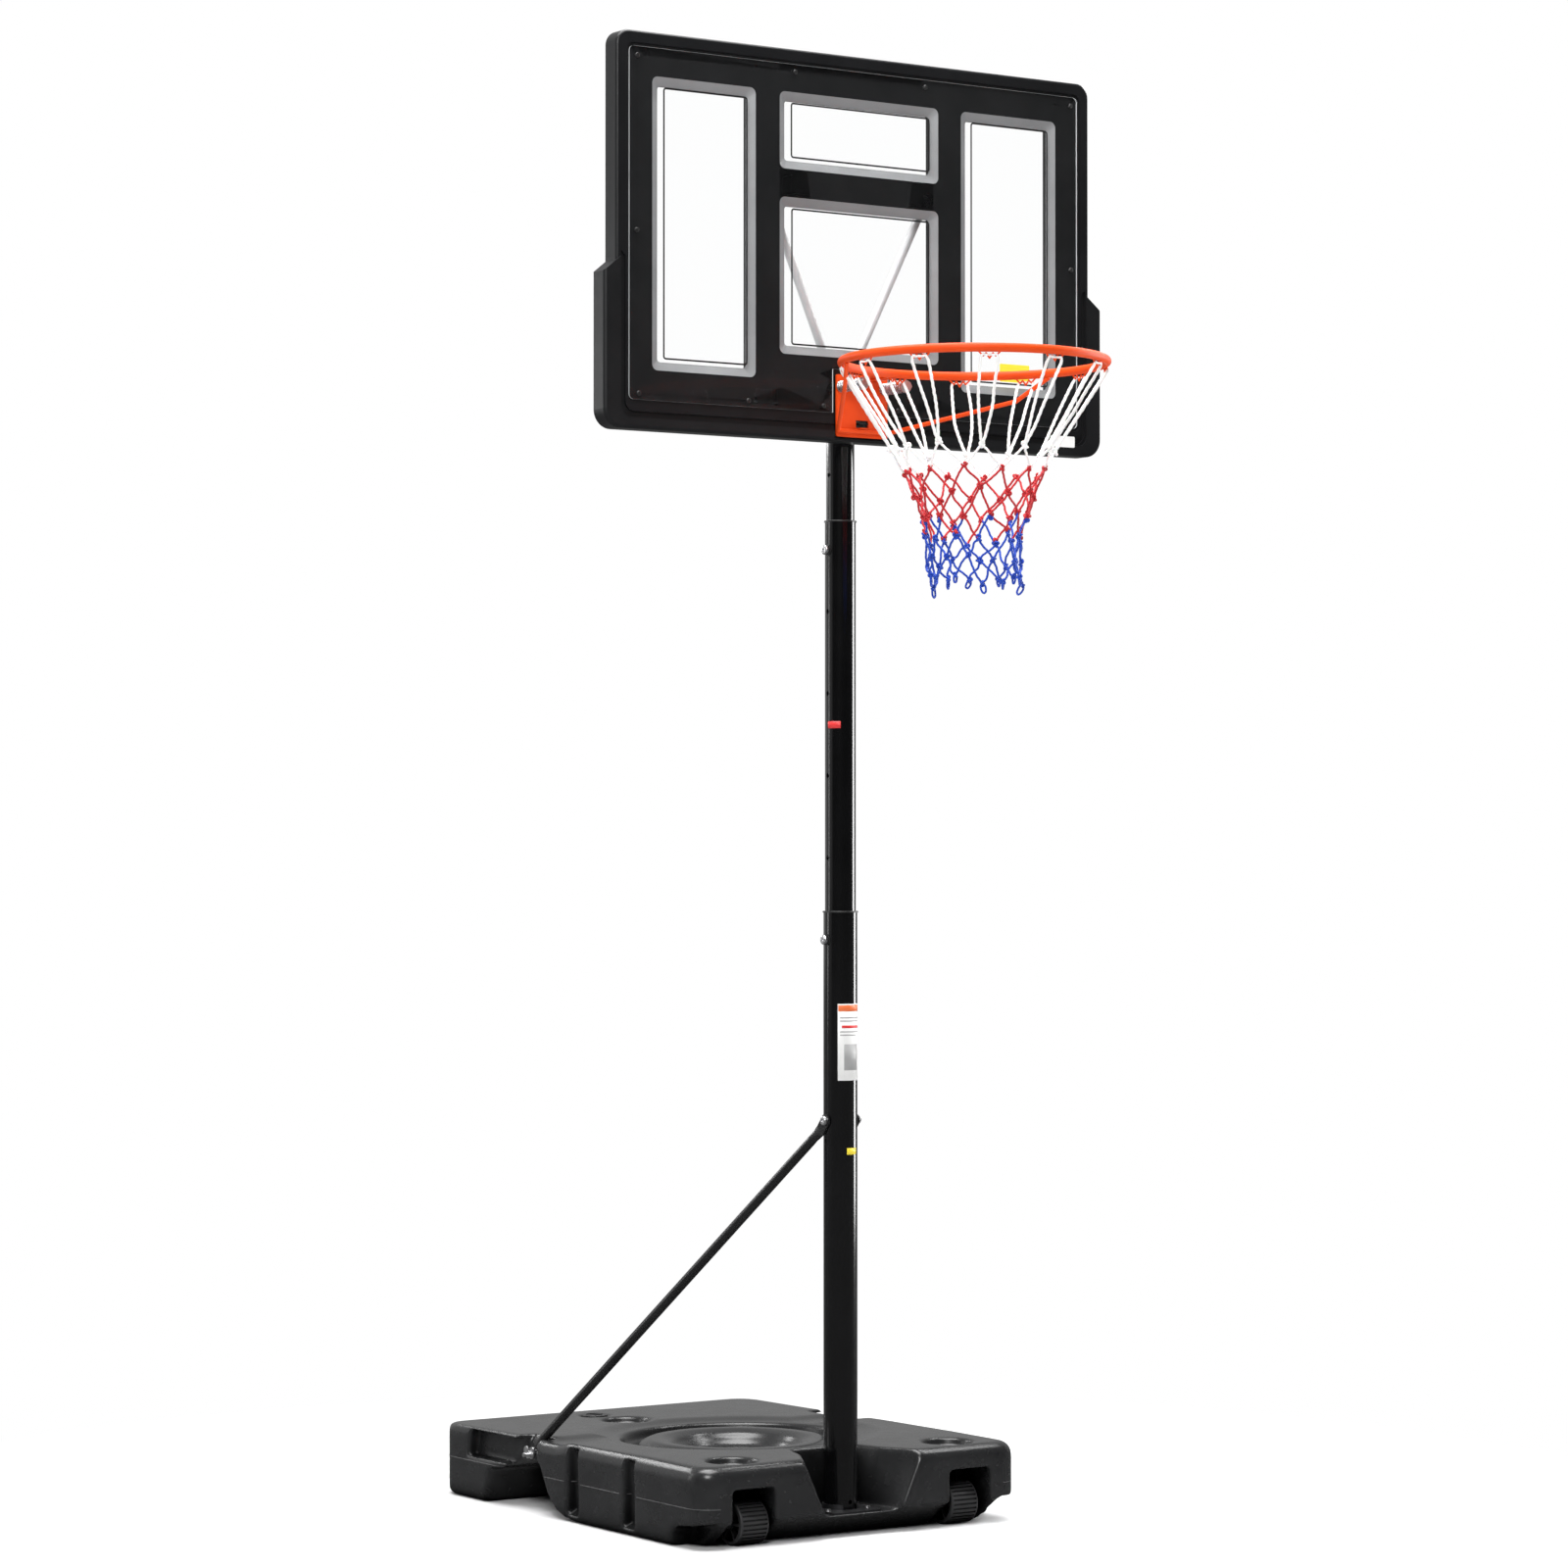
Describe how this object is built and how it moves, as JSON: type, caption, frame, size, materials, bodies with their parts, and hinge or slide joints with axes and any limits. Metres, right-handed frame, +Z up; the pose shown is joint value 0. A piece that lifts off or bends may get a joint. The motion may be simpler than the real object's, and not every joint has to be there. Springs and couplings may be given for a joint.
{
  "type": "portable basketball hoop",
  "caption": "Portable basketball hoop: wheeled fillable base, telescoping pole with side stays, framed clear backboard, spring breakaway rim and tapered cord net.",
  "frame": {"origin": "on the floor under the pole's axis", "axes": "+X to the player's right, -Y towards the player (rim side), +Y to the back of the base, +Z up"},
  "size_m": [1.12, 1.5291, 2.733],
  "materials": {
    "tank_plastic": "black blow-moulded polyethylene, fine grain",
    "cap_plastic": "black moulded plastic",
    "seal_rubber": "black rubber",
    "wheel_plastic": "black hard plastic",
    "zinc_steel": "bright zinc plate",
    "pole_paint": "black powder coat, semi-gloss",
    "stay_paint": "black powder coat",
    "bush_plastic": "black nylon",
    "board_plastic": "black moulded plastic with light grey bevels",
    "guard_plastic": "charcoal soft plastic",
    "clear_plastic": "clear polycarbonate sheet",
    "black_screws": "black oxide",
    "galvanised": "light grey galvanised",
    "rim_orange": "orange powder coat",
    "spring_steel": "bright spring wire",
    "net_cord": "woven cord, white with red and blue bands"
  },
  "bodies": {
    "base": {"base_tank": "tank_plastic", "fill_cap_seal": "seal_rubber", "wheel_axles": "zinc_steel", "wheel_spacers": "wheel_plastic", "foot_plate": "pole_paint", "foot_plate_screws": "zinc_steel", "lower_foot_plug": "bush_plastic", "lower_tube": "pole_paint", "lower_mouth_bush": "bush_plastic", "lower_lock_washer": "bush_plastic", "stay_left": "stay_paint", "stay_right": "stay_paint", "stay_top_bolt": "zinc_steel", "stay_top_nut": "zinc_steel", "stay_studs": "zinc_steel", "stay_washers": "zinc_steel"},
    "wheel_left_body": {"wheel_left": "wheel_plastic"},
    "wheel_right_body": {"wheel_right": "wheel_plastic"},
    "fill_cap_body": {"fill_cap": "cap_plastic"},
    "wing_nut_left_body": {"wing_nut_left": "zinc_steel"},
    "wing_nut_right_body": {"wing_nut_right": "zinc_steel"},
    "lower_lock": {"lower_lock_bolt": "zinc_steel"},
    "middle_pole": {"middle_tube": "pole_paint", "middle_mouth_bush": "bush_plastic", "middle_glide_ring": "bush_plastic", "upper_lock_washer": "bush_plastic"},
    "upper_lock": {"upper_lock_bolt": "zinc_steel"},
    "head": {"upper_tube": "pole_paint", "upper_tube_cap": "bush_plastic", "upper_glide_ring": "bush_plastic", "board_frame": "board_plastic", "edge_guard": "guard_plastic", "clear_sheet": "clear_plastic", "sheet_screws": "black_screws", "board_back_plate": "pole_paint", "head_bracket": "pole_paint", "head_bolts": "zinc_steel", "head_nuts": "zinc_steel", "strut_left": "galvanised", "strut_right": "galvanised", "strut_bolts": "zinc_steel", "rim_mount_bracket": "pole_paint", "mount_studs": "zinc_steel", "mount_nuts": "zinc_steel", "rim_spring_left": "spring_steel", "rim_spring_right": "spring_steel", "spring_bolts": "zinc_steel", "spring_washers": "zinc_steel", "spring_nuts": "zinc_steel"},
    "rim": {"rim_flange": "rim_orange", "rim_top_plate": "rim_orange", "rim_ring": "rim_orange", "rim_brace_rod": "rim_orange", "net_hooks": "rim_orange", "net": "net_cord"}
  },
  "joints": [
    {"name": "wheel_left_spin", "type": "hinge", "parent": "base", "child": "wheel_left_body", "pos_m": [-0.236, -0.03, 0.04], "axis": [1, 0, 0], "continuous": true},
    {"name": "wheel_right_spin", "type": "hinge", "parent": "base", "child": "wheel_right_body", "pos_m": [0.236, -0.03, 0.04], "axis": [1, 0, 0], "continuous": true},
    {"name": "fill_cap_lift", "type": "slide", "parent": "base", "child": "fill_cap_body", "axis": [0, 0, 1], "range_m": [0, 0.03]},
    {"name": "wing_nut_left_turn", "type": "hinge", "parent": "base", "child": "wing_nut_left_body", "pos_m": [-0.344, 0.547, 0.108], "axis": [1, 0, 0], "continuous": true},
    {"name": "wing_nut_right_turn", "type": "hinge", "parent": "base", "child": "wing_nut_right_body", "pos_m": [0.344, 0.547, 0.108], "axis": [1, 0, 0], "continuous": true},
    {"name": "lower_lock_push", "type": "slide", "parent": "base", "child": "lower_lock", "axis": [1, 0, 0], "range_m": [0, 0.0023]},
    {"name": "middle_slide", "type": "slide", "parent": "base", "child": "middle_pole", "axis": [0, 0, 1], "range_m": [-0.3048, 0]},
    {"name": "upper_lock_push", "type": "slide", "parent": "middle_pole", "child": "upper_lock", "axis": [1, 0, 0], "range_m": [0, 0.0023]},
    {"name": "upper_slide", "type": "slide", "parent": "middle_pole", "child": "head", "axis": [0, 0, 1], "range_m": [-0.1397, 0.4191]},
    {"name": "rim_breakaway", "type": "hinge", "parent": "head", "child": "rim", "pos_m": [0, -0.067, 2.026], "axis": [1, 0, 0], "range_deg": [0, 15], "stiffness_Nm_per_rad": 400, "deforming": ["rim_spring_left", "rim_spring_right"]}
  ]
}
